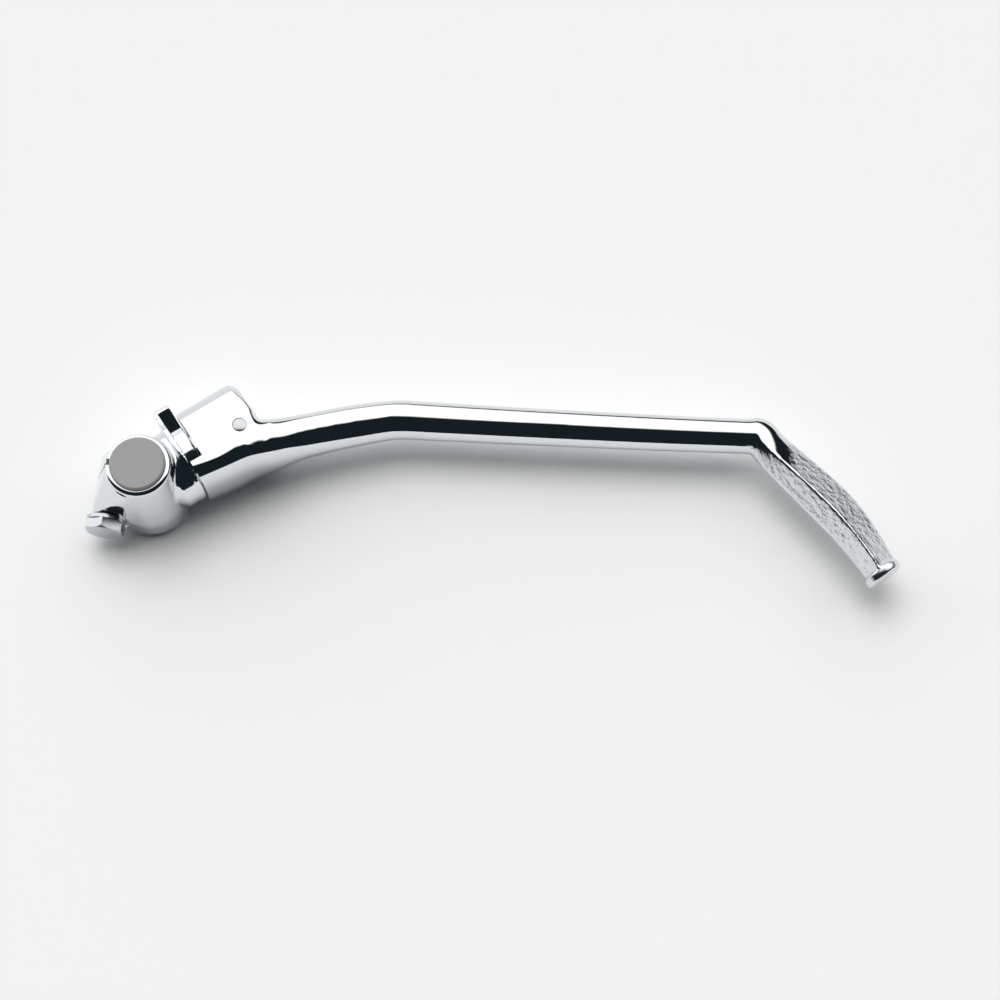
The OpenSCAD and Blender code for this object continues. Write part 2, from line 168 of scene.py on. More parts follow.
# %% Outlines with arcs
def arc(x, y, r, start, end, step=15):
    """Points on an arc round (x, y), from one angle to another in degrees."""
    angles = [math.radians(a) for a in range(start, end + 1, step)]
    return [(x + r * math.cos(a), y + r * math.sin(a)) for a in angles]


def sector(r_in, r_out, start_angle, end_angle, start, end, steps=48):
    """A ring sector round the post, whose angles rise from the pedal's side to outboard."""
    turn = (end_angle - start_angle) / steps

    def edge(r, order):
        angles = [math.radians(-90 - start_angle - turn * i) for i in order]
        return [(r * math.cos(a), r * math.sin(a)) for a in angles]
    outline = edge(r_out, range(steps + 1)) + edge(r_in, range(steps, -1, -1))
    return prism(outline, start, end)


# %% Joining and cutting
def report(piece):
    """Prints a piece's faces, its volume and its open edges, which should be none."""
    bm = bmesh.new()
    bm.from_mesh(piece.data)
    volume = bm.calc_volume() / MM ** 3 / 1000
    loose = sum(1 for edge in bm.edges if not edge.is_manifold)
    print(f"{piece.name}: {len(bm.faces)} faces, {volume:.2f} cm3, {loose} open edges")
    bm.free()


def bake(piece):
    """Applies a piece's modifiers to its mesh."""
    bpy.context.view_layer.update()
    evaluated = piece.evaluated_get(bpy.context.evaluated_depsgraph_get())
    result = bpy.data.meshes.new_from_object(evaluated)
    piece.modifiers.clear()
    piece.data = result


def combine(piece, bm, operation):
    """Joins a bmesh to a piece or cuts it away."""
    tool = to_object(bm, "tool")
    step = piece.modifiers.new("combine", "BOOLEAN")
    step.operation, step.solver, step.object = operation, "EXACT", tool
    bake(piece)
    bpy.data.objects.remove(tool, do_unlink=True)


def join(piece, bm):
    combine(piece, bm, "UNION")


def cut(piece, bm):
    combine(piece, bm, "DIFFERENCE")


# %% One skin, softened
# Each round of smoothing moves a vertex halfway to the middle of its neighbours.
HALFWAY = 0.5


def forge(piece, voxel, rounds=12):
    """Turns joined solids into one skin and softens where they meet."""
    skin = piece.modifiers.new("skin", "REMESH")
    skin.mode, skin.voxel_size, skin.use_smooth_shade = "VOXEL", voxel * MM, True
    soften = piece.modifiers.new("soften", "SMOOTH")
    soften.factor, soften.iterations = HALFWAY, rounds
    bake(piece)


def blend_near(piece, centre, reach, rounds):
    """Softens the skin further round one point, where two forms should run into each other."""
    bm = bmesh.new()
    bm.from_mesh(piece.data)
    near = [vert for vert in bm.verts if (vert.co / MM - centre).length < reach]
    for _ in range(rounds):
        bmesh.ops.smooth_vert(
            bm, verts=near, factor=HALFWAY, use_axis_x=True, use_axis_y=True, use_axis_z=True
        )
    bm.to_mesh(piece.data)
    bm.free()


# %% [markdown]
# ## The arm and pedal
# The real lever is one forging. Its arm leaves the hub with flat sides, runs into a round bar with
# one bend, and ends in a pedal with a ridge along it and two sloping faces. A curve with one bevel
# shape could sweep the round bar, but not a section that changes. So the forging is made as a row
# of sections along a path: each is a ring of vertices, and each pair of rings is bridged. The
# stations are the CAD model's, with a smooth curve between them.

# %% The path of the forging
ROOT_SLOPE, ROOT_CURVE = 0.2685, 1.38
ARM_FALL, ARM_LIFT = 0.0586, 0.0074
BOW_SHAPE = 1.4
BEND_Y = BEND_X * ROOT_SLOPE
ARM_RUN = ELBOW_X - BEND_X
TURN = math.radians(PEDAL_ANGLE)


def on_root(f):
    """A point between the post and the bend, by its share of the way."""
    return BEND_X * f, BEND_Y * (1 - (1 - f) ** ROOT_CURVE)


def on_arm(f):
    """A point between the bend and the elbow."""
    return BEND_X + ARM_RUN * f, BEND_Y - ARM_RUN * (ARM_FALL * f - ARM_LIFT * f ** 3)


def on_pedal(f):
    """A point between the elbow and the rim, on a shallow bow."""
    x, y = on_arm(1)
    out = PEDAL_BOW * math.sin(math.pi * f ** BOW_SHAPE)
    along = PEDAL_LEN * f
    return (
        x + math.cos(TURN) * along + math.sin(TURN) * out,
        y - math.sin(TURN) * along + math.cos(TURN) * out
    )


def arm_size(f):
    return ARM_D + (ARM_TIP_D - ARM_D) * f


# %% Stations: x, y, width, height, how far it is pedal, how far its sides are flat
STATIONS = [
    (HUB_START * 0.76, HUB_START * 0.1, HUB_R * 1.06, HUB_R * 1.9, 0, 1),
    (HUB_END * 0.583, HUB_END * 0.17, HUB_R * 1.16, HUB_R * 1.95, 0, 1),
    (HUB_END * 0.786, HUB_END * 0.272, HUB_R * 1.16, HUB_R * 1.86, 0, 0.9),
    (on_root(0.5)[0], on_root(0.5)[1] - 0.2, HUB_R * 1.06, HUB_R * 1.58, 0, 0.5),
    (*on_root(0.61), ARM_D * 1.09, ARM_D * 1.34, 0, 0.15),
    (*on_root(0.79), ARM_D * 1.07, ARM_D * 1.12, 0, 0),
    (*on_root(0.95), ARM_D * 1.02, ARM_D * 1.03, 0, 0),
    (*on_arm(0.015), ARM_D * 1.01, ARM_D, 0, 0),
    (*on_arm(0.06), ARM_D, ARM_D, 0, 0),
    (*on_arm(0.35), arm_size(0.4), arm_size(0.4), 0, 0),
    (*on_arm(0.7), arm_size(0.75), arm_size(0.75), 0, 0),
    (*on_arm(0.955), ARM_TIP_D, ARM_TIP_D, 0, 0),
    (*on_arm(1), ARM_TIP_D * 1.06, ARM_TIP_D, 0.1, 0),
    (*on_pedal(0.08), ARM_TIP_D * 1.06, ARM_TIP_D * 1.02, 0.4, 0),
    (*on_pedal(0.16), PEDAL_W * 0.9, ARM_TIP_D * 1.08, 0.8, 0),
    (*on_pedal(0.29), PEDAL_W * 0.95, PEDAL_W * 0.9, 1, 0),
    (*on_pedal(0.5), PEDAL_W, PEDAL_W * 0.94, 1, 0),
    (*on_pedal(0.68), PEDAL_W * 0.95, PEDAL_W * 0.92, 1, 0),
    (*on_pedal(0.85), PEDAL_W * 0.83, PEDAL_W * 0.88, 1, 0),
    (*on_pedal(0.97), PEDAL_W * 0.76, PEDAL_W * 0.84, 1, 0),
]
print("stations:", len(STATIONS))


# %% Smooth steps between the stations
def curve(a, b, c, d, t):
    """A smooth curve through four values, between the second and the third."""
    slope, pull = (c - a) * t, (2 * a - 5 * b + 4 * c - d) * t * t
    return 0.5 * (2 * b + slope + pull + (3 * b - a - 3 * c + d) * t ** 3)


def path_rings(steps):
    """The stations, with smooth steps from each to the next."""
    def station(i):
        return STATIONS[max(0, min(len(STATIONS) - 1, i))]
    rings = []
    for i in range(len(STATIONS) - 1):
        near = [station(i + k) for k in (-1, 0, 1, 2)]
        rings += [[curve(*values, k / steps) for values in zip(*near)] for k in range(steps)]
    return rings + [list(STATIONS[-1])]


# %% Sections of the arm and of the pedal
# The ridge stands past the top of the section, by its angle round it.
RIDGE_ANGLE = 112.5
RIDGE_AT = math.cos(math.radians(RIDGE_ANGLE))
PEDAL_HALF_H = PEDAL_W * 0.47
BELLY, FLATTEN = 1.15, 0.3


def ridged(angle):
    """The pedal's section: a ridge over two sloping faces, and a round underside."""
    c, s = math.cos(angle), math.sin(angle)
    if s >= 0:
        slope = (1 - c) / (1 - RIDGE_AT) if c >= RIDGE_AT else (1 + c) / (1 + RIDGE_AT)
        return c, RIDGE_H / PEDAL_HALF_H * slope
    return math.copysign(abs(c) ** BELLY, c), s


def rounded(angle, flat):
    """A round section whose sides are flattened by a share."""
    c, s = math.cos(angle), math.sin(angle)
    power = 1 - FLATTEN * flat
    return math.copysign(abs(c) ** power, c), math.copysign(abs(s) ** power, s)


def section(ring, heading):
    """The points of one ring, across the path."""
    x, y, width, height, pedal, flat = ring
    side = Vector((-heading.y, heading.x, 0))
    k = max(0.0, min(1.0, pedal))
    points = []
    for j in range(SIDES):
        angle = math.tau * j / SIDES
        plain = Vector(rounded(angle, max(0.0, flat)))
        shaped = Vector(ridged(angle)) * k + plain * (1 - k)
        middle = Vector((x, y, POST_Z + shaped.y * height / 2))
        points.append(middle + side * (shaped.x * width / 2))
    return points


# %% The swept forging
def swept_forging(steps=6):
    """Bridges the sections along the path into one closed skin."""
    rings = path_rings(steps)
    bm = bmesh.new()
    loops = []
    for i, ring in enumerate(rings):
        before, after = rings[max(0, i - 1)], rings[min(len(rings) - 1, i + 1)]
        heading = Vector((after[0] - before[0], after[1] - before[1])).normalized()
        verts = [bm.verts.new(point) for point in section(ring, heading)]
        loops.append([bm.edges.new((verts[j], verts[(j + 1) % SIDES])) for j in range(SIDES)])
    for near, far in zip(loops, loops[1:]):
        bmesh.ops.bridge_loops(bm, edges=near + far)
    for end in (loops[0], loops[-1]):
        bmesh.ops.contextual_create(bm, geom=end)
    return bm


# %% The rim at the pedal's end
RIM_EDGE, RIM_LIFT, RIM_TURN = 0.9, 0.2, 3.0


def rim_disc():
    """A round disc with rounded edges, across the end of the pedal."""
    outline = [(0, 0)] + arc(RIM_R - RIM_EDGE, RIM_EDGE, RIM_EDGE, -90, 0)
    outline += arc(RIM_R - RIM_EDGE, RIM_T - RIM_EDGE, RIM_EDGE, 0, 90) + [(0, RIM_T)]
    x, y = on_pedal(1)
    turn = Matrix.Rotation(math.radians(-PEDAL_ANGLE - RIM_TURN), 4, "Z")
    lie = Matrix.Translation((x, y, POST_Z + RIM_LIFT)) @ turn
    return place(turned(outline), lie, Matrix.Rotation(math.radians(-90), 4, "Y"))


# %% [markdown]
# ## The lever
# Hub, arm, pedal and rim are joined and softened as one forging, with a flat on top of the hub.
# Where the arm leaves the flat, the real metal flows from one into the other, so the skin is
# softened further there. The machining follows: all but the stop jaw is turned away at the hub's
# near end, and the bore, the seat of the retaining ring and the detent hole are cut.

# %% The forged lever
# A cutting tool runs past the face that it cuts by this much.
OVER = 1.0
HUB_CHAMFER = 1.8
# Fine enough for a smooth highlight, and coarse enough for a mesh of a useful size.
LEVER_VOXEL = 0.45
FLOW_AT, FLOW_REACH, FLOW_ROUNDS = Vector((37.0, 15.0, POST_Z + HUB_FLAT)), 6.5, 60


def forge_lever():
    lever = to_object(swept_forging(), "lever_forging")
    hub = turned([
        (0, JAW_TIP - OVER), (HUB_R, JAW_TIP - OVER), (HUB_R, HUB_END - HUB_CHAMFER),
        (HUB_R - HUB_CHAMFER, HUB_END), (0, HUB_END)
    ])
    join(lever, place(hub, POST, ALONG_X))
    join(lever, rim_disc())
    above = block((0, -2 * HUB_R, HUB_FLAT), (HUB_END + HUB_R, 2 * HUB_R, 2 * HUB_R))
    cut(lever, place(above, POST))
    forge(lever, LEVER_VOXEL)
    blend_near(lever, FLOW_AT, FLOW_REACH, FLOW_ROUNDS)
    return lever


lever = forge_lever()
report(lever)


# %% [markdown]
# ## The rough skin of the pedal
# The arm was polished before it was plated, and the pedal wasn't, so its skin is as rough as a
# casting. A bump in the material alone wouldn't be in the mesh, and a displaced mesh fine enough
# for all of it would be too heavy. So the coarse part, lumps of about two millimetres, is made in
# the mesh. A value from 0 to 1 is kept on the vertices, and the material adds the fine grain in
# the same places.

# %% Where the rough skin starts, and how coarse it is
# Places along X: the sides turn rough over the first pair, the polished top over the second.
ROUGH_SIDES, ROUGH_TOP = (198, 206), (214, 220)
# How far a face looks up, from a side to the top.
TOP_FACE = (0.55, 0.85)
LUMP_MM, LUMP_DEPTH_MM = 1.8, 0.09
SMALL_LUMPS, SMALL_SHARE = 0.45, 0.6


def ease(value, low, high):
    """From 0 to 1 as a value goes from low to high, with soft ends."""
    t = max(0.0, min(1.0, (value - low) / (high - low)))
    return t * t * (3 - 2 * t)


# %% Rough skin
def cast_skin(piece):
    """Raises the lumps on the pedal and keeps where it is rough as an attribute."""
    mesh = piece.data
    kept = mesh.attributes.new("cast", "FLOAT", "POINT")
    # Each normal is read before any vertex moves, because a moved mesh works them all out again.
    skin = [(vert.co.copy(), vert.normal.copy()) for vert in mesh.vertices]
    shares, places = [], []
    for co, normal in skin:
        x, y, z = co / MM
        polished = ease(normal.z, *TOP_FACE) * (1 - ease(x, *ROUGH_TOP))
        rough = ease(x, *ROUGH_SIDES) * (1 - polished)
        lumps = noise.noise(Vector((x, y, z)) / LUMP_MM)
        small = noise.noise(Vector((y, z, x)) / (LUMP_MM * SMALL_LUMPS))
        shares.append(rough)
        places.extend(co + normal * ((lumps + SMALL_SHARE * small) * LUMP_DEPTH_MM * rough * MM))
    kept.data.foreach_set("value", shares)
    mesh.vertices.foreach_set("co", places)
    mesh.update()
    print("rough vertices:", sum(1 for share in shares if share > 0))


cast_skin(lever)


# %% Machining of the lever
# The room round a piece that turns or is pressed in.
FIT = 0.05
# Sizes well clear of the hub, so that a tool takes away all that stands there.
END_CLEAR_R, JAW_CLEAR_R, DETENT_OUT = HUB_R * 2, HUB_R * 1.8, HUB_R + 20


def at_detent(bm):
    """Places a bmesh on the detent's axis, which leans out of the post's middle."""
    lean = Matrix.Rotation(math.radians(90 - DETENT_ANGLE), 4, "X")
    return place(bm, POST, Matrix.Translation((DETENT_AT, 0, 0)), lean)


def machine_lever(lever):
    """Clears the near end but for the jaw, then cuts the bore, the ring's seat and the detent."""
    jaw_r = HUB_R - JAW_H
    for tool in (
        bar(END_CLEAR_R, JAW_TIP - HUB_R, JAW_TIP),
        bar(jaw_r, JAW_TIP - OVER, HUB_START),
        sector(
            jaw_r - 2 * OVER, JAW_CLEAR_R, JAW_LEAD, JAW_TRAIL + 360, JAW_TIP - OVER, HUB_START
        ),
        bar(POST_R + FIT, HUB_START - OVER, HUB_END + OVER),
        bar(RETAINER_R, HUB_END - RETAINER_DEPTH, HUB_END + ACCESS_LEN),
    ):
        cut(lever, place(tool, POST, ALONG_X))
    cut(lever, at_detent(bar(DETENT_R, 0, DETENT_OUT, sides=SIDES // 2)))


machine_lever(lever)
report(lever)


# %% [markdown]
# ## The plug of the detent
# A plug closes the hole over the detent's spring. It leans with the hole, and its top is ground
# flush with the flat of the hub. A plain disc on the flat would be simpler, but it would stand
# wrong to the hole. So the plug is a leaning bar that is cut level, with a narrow bevel that
# shows as a dark ring.

# %% Detent plug
PLUG_R, PLUG_LOW, PLUG_HIGH, PLUG_SIDES = 2.3, 12.5, HUB_R + 3, 64
PLUG_BELOW, PLUG_BEVEL = 0.15, 0.3


def make_plug():
    bm = at_detent(bar(PLUG_R, PLUG_LOW, PLUG_HIGH, sides=PLUG_SIDES))
    level = POST_Z + HUB_FLAT - PLUG_BELOW
    sliced = bmesh.ops.bisect_plane(
        bm, geom=bm.verts[:] + bm.edges[:] + bm.faces[:],
        plane_co=(0, 0, level), plane_no=(0, 0, 1), clear_outer=True
    )
    rim = [item for item in sliced["geom_cut"] if isinstance(item, bmesh.types.BMEdge)]
    bmesh.ops.contextual_create(bm, geom=rim)
    bmesh.ops.bevel(
        bm, geom=rim, offset=PLUG_BEVEL, affect="EDGES", segments=2, profile=0.5, material=-1
    )
    return to_object(bm, "detent_plug_flush")


plug = make_plug()
report(plug)


# %% [markdown]
# ## The knuckle
# The knuckle is forged too: a tapered boss, the split lug and the flange flow into each other. The
# lug is the hull that wraps the bolt's tube and the boss. The bore, the slit, the spot faces and
# the post are machined, and the serrations are cut as narrow V grooves.

# %% Boss and lug
BASE_EDGE, BASE_TAPER = 1.0, 0.1
# The lug's hull stays this far inside the boss, so that their faces don't lie on each other.
INSIDE = 0.25
# The lug ends in a thin disc, this far under the boss's face.
LUG_TOP, LUG_DISC = 2.5, 0.5


def boss():
    outline = [
        (0, 0), (BOSS_BASE_R - BASE_EDGE, 0), (BOSS_BASE_R, BASE_EDGE),
        (BOSS_BASE_R - BASE_TAPER, SHOULDER_Z)
    ]
    outline += arc(BOSS_FACE_R - BOSS_ROUND, BOSS_LEN - BOSS_ROUND, BOSS_ROUND, 0, 90)
    return turned(outline + [(0, BOSS_LEN)])


def hull_of(*parts):
    """The convex skin round a few bmeshes."""
    bm = bmesh.new()
    for part in parts:
        for vert in part.verts:
            bm.verts.new(vert.co)
        part.free()
    wrapped = bmesh.ops.convex_hull(bm, input=bm.verts)
    spare = [item for item in wrapped["geom_interior"] if isinstance(item, bmesh.types.BMVert)]
    bmesh.ops.delete(bm, geom=spare, context="VERTS")
    return bm


def lug():
    tube = place(bar(BOLT_HOLE_R + LUG_WALL, -LUG_FAR, LUG_HALF), AT_BOLT, ALONG_Y)
    base = bar(BOSS_BASE_R - INSIDE, BASE_EDGE + INSIDE, SHOULDER_Z - INSIDE)
    top = bar(BOSS_FACE_R, BOSS_LEN - LUG_TOP - LUG_DISC, BOSS_LEN - LUG_TOP)
    return place(hull_of(tube, base, top), CLAMP)


# %% Ear and neck
# The ear's corners, beside the post's middle and up from it.
EAR_OUTLINE = [
    (-5.5, 2), (-8.2, HUB_R - 4), (-7, HUB_R + EAR_REACH), (2.5, HUB_R + EAR_REACH),
    (7, HUB_R - 3), (8, 2)
]
EAR_IN, EAR_ROUND = 5.2, 2.2
NECK_START, NECK_END, NECK_INSET, NECK_ASIDE = FLANGE_START - 3.4, FLANGE_END - 0.6, 1.3, 1.2


def ear():
    """The ear that stops the lever's jaw, an outline across the post."""
    bm = prism(EAR_OUTLINE, FLANGE_START + EAR_IN, HUB_START - FACE_GAP)
    upright = [e for e in bm.edges if abs(e.verts[0].co.z - e.verts[1].co.z) > MERGE_MM]
    bmesh.ops.bevel(
        bm, geom=upright, offset=EAR_ROUND, affect="EDGES", segments=5, profile=0.5, material=-1
    )
    return place(bm, ALONG_X)


def neck():
    """The neck that carries the flange, a little towards the pedal's side."""
    r = FLANGE_R - NECK_INSET
    bm = turned([
        (0, NECK_START), (BOSS_FACE_R, NECK_START), (r, FLANGE_START), (r, NECK_END), (0, NECK_END)
    ])
    return place(bm, Matrix.Translation((0, -NECK_ASIDE, 0)), ALONG_X)


# %% The forged knuckle
ROOT_R, FLANGE_T = BOSS_FACE_R + 0.8, 1.8
# Its voxels are finer than the lever's, because its forms are smaller.
KNUCKLE_VOXEL = 0.32


def forge_knuckle():
    knuckle = to_object(boss(), "knuckle_forging")
    join(knuckle, lug())
    for part in (
        place(bar(ROOT_R, 0, FLANGE_START + OVER), ALONG_X),
        neck(),
        place(bar(FLANGE_R, FLANGE_END - FLANGE_T, FLANGE_END), ALONG_X),
        place(bar(COLLAR_R, FLANGE_END - OVER, HUB_START - FACE_GAP), ALONG_X),
        ear(),
    ):
        join(knuckle, place(part, POST))
    forge(knuckle, KNUCKLE_VOXEL)
    return knuckle


knuckle = forge_knuckle()
report(knuckle)


# %% The post
POST_ROOT, POST_CHAMFER, TRACK_STEPS = 3.0, 0.8, 4


def post():
    """The swivel post, with the ball's round track and the groove of the retaining ring."""
    reach = math.degrees(math.acos((TRACK_R - POST_R) / TRACK_WIRE))
    track = []
    for share in range(TRACK_STEPS, -TRACK_STEPS - 1, -1):
        a = math.radians(reach * share / TRACK_STEPS)
        track.append((TRACK_R - TRACK_WIRE * math.cos(a), DETENT_AT - TRACK_WIRE * math.sin(a)))
    low, high, sunk = CIRCLIP_AT - FIT, CIRCLIP_AT + CIRCLIP_T + FIT, POST_R - CIRCLIP_SINK
    return turned([
        (0, FLANGE_END - POST_ROOT), (POST_R, FLANGE_END - POST_ROOT), *track,
        (POST_R, low), (sunk, low), (sunk, high), (POST_R, high),
        (POST_R, POST_END - POST_CHAMFER), (POST_R - POST_CHAMFER, POST_END), (0, POST_END)
    ])


# %% Joint faces
SWEEP_R, FACE_CUT = HUB_R * 1.6, 4


def machine_joint(knuckle):
    """Clears the way of the jaw and the face before the hub, and sets the post in."""
    sweep = sector(
        COLLAR_R, SWEEP_R, JAW_TRAIL - STOP_GAP, JAW_LEAD + SWING + STOP_GAP,
        FLANGE_END, HUB_START + OVER
    )
    cut(knuckle, place(sweep, POST, ALONG_X))
    cut(knuckle, place(bar(SWEEP_R, HUB_START - FACE_GAP, HUB_START + FACE_CUT), POST, ALONG_X))
    join(knuckle, place(post(), POST, ALONG_X))


machine_joint(knuckle)
report(knuckle)


# %% Serrations
# How far inside the bore's wall a groove's tool starts, and half its width there.
GROOVE_IN, GROOVE_HALF_W = 0.4, 0.6
# How far it runs past the serrations, into the relief above them.
GROOVE_OVER = 0.3


def serrations():
    """The V grooves round the bore, as one tool."""
    near = SPLINE_TIP_R - GROOVE_IN
    outline = [(near, -GROOVE_HALF_W), (SPLINE_TIP_R + SPLINE_DEPTH, 0), (near, GROOVE_HALF_W)]
    grooves = bmesh.new()
    for i in range(SPLINE_COUNT):
        groove = prism(outline, -OVER / 2, SPLINE_LEN + GROOVE_OVER)
        mesh = bpy.data.meshes.new("groove")
        place(groove, Matrix.Rotation(math.tau * (i + 0.5) / SPLINE_COUNT, 4, "Z")).to_mesh(mesh)
        groove.free()
        grooves.from_mesh(mesh)
        bpy.data.meshes.remove(mesh)
    return grooves


# %% Bore and clamp
# The bolt's head has more room round it than the washer's face at the far end.
HEAD_ROOM, SPOT_DEPTH, SLIT_REACH = 1.2, 12, 40


def machine_clamp(knuckle):
    """Cuts the spot faces, the bolt's hole, the stepped bore, the slit and the serrations."""
    for r, start, end in (
        (WASHER_R + HEAD_ROOM, LUG_HALF, LUG_HALF + SPOT_DEPTH),
        (WASHER_R, -LUG_FAR - SPOT_DEPTH, -LUG_FAR),
        (BOLT_HOLE_R, -LUG_FAR - OVER, LUG_HALF + OVER / 2),
    ):
        cut(knuckle, place(bar(r, start, end), CLAMP, AT_BOLT, ALONG_Y))
    seat, mouth_r = BOSS_LEN - CAP_SEAT, CAP_R + FIT
    cut(knuckle, turned([
        (0, -OVER), (SPLINE_TIP_R, -OVER), (SPLINE_TIP_R, SPLINE_LEN), (RELIEF_R, SPLINE_LEN),
        (RELIEF_R, seat), (mouth_r, seat), (mouth_r, BOSS_LEN + OVER), (0, BOSS_LEN + OVER)
    ]))
    slit = block((-SLIT_REACH, -SLIT_W / 2, -OVER), (0, SLIT_W / 2, BOSS_LEN + OVER))
    cut(knuckle, place(slit, CLAMP))
    cut(knuckle, serrations())


machine_clamp(knuckle)
report(knuckle)

# %% [markdown]
# ## Smooth shading with crisp edges
# A machined edge is sharp to the eye, and the rest of a forging is smooth. A bevel on every edge
# would show both, but it fails on the many short edges that a cut leaves. So each mesh is shaded
# smooth, and the edges that turn by more than 32 degrees are marked sharp.


# %% Shading
SHARP_ANGLE, MERGE_M = 32, 1e-7


def shade(piece):
    bm = bmesh.new()
    bm.from_mesh(piece.data)
    bmesh.ops.remove_doubles(bm, verts=bm.verts, dist=MERGE_M)
    bmesh.ops.dissolve_degenerate(bm, dist=MERGE_M, edges=bm.edges)
    for face in bm.faces:
        face.smooth = True
    for edge in bm.edges:
        edge.smooth = edge.calc_face_angle(0) < math.radians(SHARP_ANGLE)
    bm.to_mesh(piece.data)
    bm.free()


for piece in (lever, knuckle, plug):
    shade(piece)
    report(piece)

# %% [markdown]
# ## Finishes
# Chrome is a thin bright metal over the polished forging, with a very slight blue. Where the pedal
# was left rough, the plating follows a grainy skin. Zinc plate on the bolt is duller. The cap is
# moulded plastic. A picture of each surface could be wrapped round it, but patterns that are
# worked out from a place in the piece need no seams and no files.


# %% Material helpers
def hex_colour(code):
    """A linear colour from its sRGB hex value."""
    parts = [int(code[i:i + 2], 16) / 255 for i in (0, 2, 4)]
    linear = [p / 12.92 if p <= 0.04045 else ((p + 0.055) / 1.055) ** 2.4 for p in parts]
    return (*linear, 1.0)


def new_material(name, code, metallic):
    """A material with its colour and metal share on the shader's own sockets."""
    material = bpy.data.materials.new(name)
    material.use_nodes = True
    shader = material.node_tree.nodes["Principled BSDF"]
    shader.inputs["Base Color"].default_value = hex_colour(code)
    shader.inputs["Metallic"].default_value = metallic
    return material, material.node_tree, shader


def add(tree, kind, settings=None, links=None):
    """Adds a node, sets its properties and sockets, and links its inputs."""
    node = tree.nodes.new(kind)
    for key, value in (settings or {}).items():
        if isinstance(key, str) and hasattr(node, key):
            setattr(node, key, value)
        else:
            node.inputs[key].default_value = value
    for key, source in (links or {}).items():
        tree.links.new(source, node.inputs[key])
    return node


def finish_with(piece, material):
    """Gives a piece one material in place of what it had."""
    piece.data.materials.clear()
    piece.data.materials.append(material)


# %% Hard chrome on the polished knuckle
CHROME = "E2E5E8"
# The size of a patch of haze, larger on the larger piece.
KNUCKLE_HAZE_MM, LEVER_HAZE_MM = 6, 9


def chrome_knuckle():
    """Polished chrome: nearly a mirror, with a haze of a few millimetres from handling."""
    material, tree, shader = new_material("hard_chrome_on_knuckle", CHROME, 1.0)
    where = add(tree, "ShaderNodeTexCoord").outputs["Object"]
    haze = add(
        tree, "ShaderNodeTexNoise", {"Scale": 1 / (KNUCKLE_HAZE_MM * MM), "Detail": 4.0},
        {"Vector": where}
    )
    rough = add(
        tree, "ShaderNodeMapRange",
        {"From Min": 0.3, "From Max": 0.7, "To Min": 0.05, "To Max": 0.11},
        {"Value": haze.outputs["Fac"]}
    )
    tree.links.new(rough.outputs["Result"], shader.inputs["Roughness"])
    return material


# %% Hard chrome on the lever, polished on the arm and rough on the pedal
PIT_MM, PIT_DEPTH_MM = 0.9, 0.25


def chrome_lever():
    """Where the cast value is 1, the plating follows pits under a millimetre and scatters light."""
    material, tree, shader = new_material("hard_chrome_on_forging", CHROME, 1.0)
    where = add(tree, "ShaderNodeTexCoord").outputs["Object"]
    cast = add(tree, "ShaderNodeAttribute", {"attribute_name": "cast"}).outputs["Fac"]
    pits = add(
        tree, "ShaderNodeTexNoise",
        {"Scale": 1 / (PIT_MM * MM), "Detail": 3.0, "Roughness": 0.6}, {"Vector": where}
    )
    relief = add(
        tree, "ShaderNodeMath", {"operation": "MULTIPLY"}, {0: pits.outputs["Fac"], 1: cast}
    )
    bump = add(
        tree, "ShaderNodeBump", {"Strength": 0.45, "Distance": PIT_DEPTH_MM * MM},
        {"Height": relief.outputs["Value"]}
    )
    tree.links.new(bump.outputs["Normal"], shader.inputs["Normal"])
    haze = add(
        tree, "ShaderNodeTexNoise", {"Scale": 1 / (LEVER_HAZE_MM * MM), "Detail": 4.0},
        {"Vector": where}
    )
    polished = add(
        tree, "ShaderNodeMapRange",
        {"From Min": 0.3, "From Max": 0.7, "To Min": 0.03, "To Max": 0.07},
        {"Value": haze.outputs["Fac"]}
    )
    rough = add(
        tree, "ShaderNodeMapRange", {"To Max": 0.2},
        {"Value": cast, "To Min": polished.outputs["Result"]}
    )
    tree.links.new(rough.outputs["Result"], shader.inputs["Roughness"])
    return material


finish_with(lever, chrome_lever())
finish_with(knuckle, chrome_knuckle())
print("chromed:", lever.name, knuckle.name)


# %% Zinc, spring steel and plastic
def grained(name, code, metallic, rough, grain_mm, relief_mm):
    """A finish with a fine grain in its roughness and its relief."""
    material, tree, shader = new_material(name, code, metallic)
    where = add(tree, "ShaderNodeTexCoord").outputs["Object"]
    grain = add(
        tree, "ShaderNodeTexNoise", {"Scale": 1 / (grain_mm * MM), "Detail": 4.0},
        {"Vector": where}
    ).outputs["Fac"]
    spread = add(
        tree, "ShaderNodeMapRange", {"To Min": rough * 0.8, "To Max": rough * 1.25},
        {"Value": grain}
    )
    tree.links.new(spread.outputs["Result"], shader.inputs["Roughness"])
    bump = add(
        tree, "ShaderNodeBump", {"Strength": 0.4, "Distance": relief_mm * MM}, {"Height": grain}
    )
    tree.links.new(bump.outputs["Normal"], shader.inputs["Normal"])
    return material


# Electroplated zinc, cleared bright: a soft metal shine with a slight blue
zinc = grained("bright_zinc_plate", "C6CACE", 1.0, 0.2, 1.6, 0.006)
# Spring steel straight from its oil bath: dark and satin
spring_steel = grained("oiled_spring_steel", "6E7174", 1.0, 0.35, 0.7, 0.02)
# Injection moulded polyamide: matt, with the fine grain of its mould
plastic = grained("moulded_grey_plastic", "A0A0A0", 0.0, 0.55, 0.6, 0.015)

# %% Which node wears which
FINISHES = {
    "pinch_bolt": zinc, "spring_washer": zinc, "thrust_washer": zinc, "detent_ball": zinc,
    "circlip": spring_steel, "detent_spring": spring_steel, "bore_cap": plastic,
}
for node, finish in FINISHES.items():
    finish_with(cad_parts[node], finish)
finish_with(plug, zinc)
print("finished nodes:", len(FINISHES))

